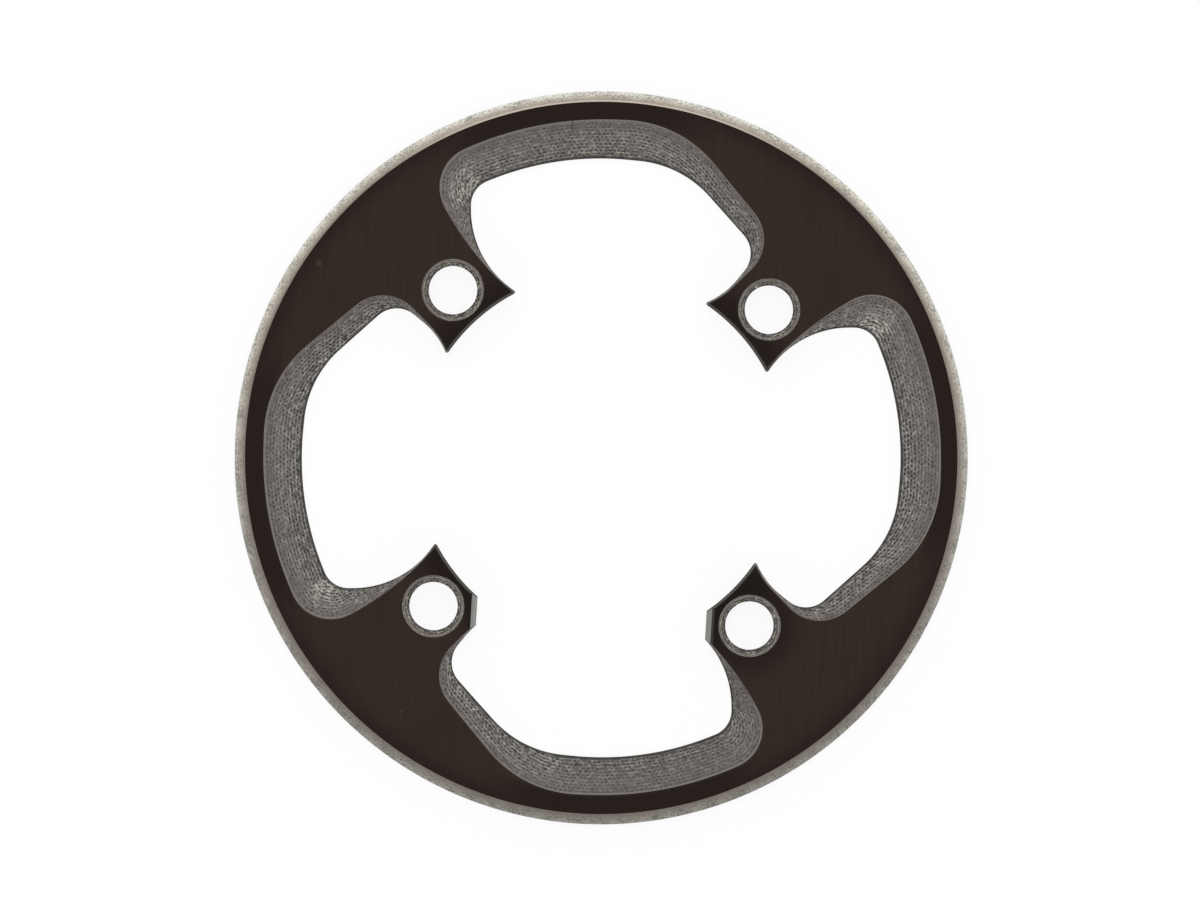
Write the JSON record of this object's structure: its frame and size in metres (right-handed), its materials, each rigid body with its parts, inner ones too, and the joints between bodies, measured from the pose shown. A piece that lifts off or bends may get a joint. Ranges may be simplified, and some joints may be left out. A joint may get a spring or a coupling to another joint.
{
  "type": "chainring guard",
  "caption": "Flat round bicycle chainring guard with bevelled windows between its countersunk bolt bosses and flats that clear the crank arm.",
  "frame": {"origin": "centre of the bolt circle, on the flat back of the plate", "axes": "+Z out of the bevelled face, -Y along the crank arm between the two bosses with flats"},
  "size_m": [0.154, 0.154, 0.004],
  "materials": {
    "laminate": "dark fabric laminate, ground smooth on both faces, with grey woven plies showing in rows on every machined bevel"
  },
  "bodies": {
    "root": {"guard_plate": "laminate"}
  },
  "joints": []
}
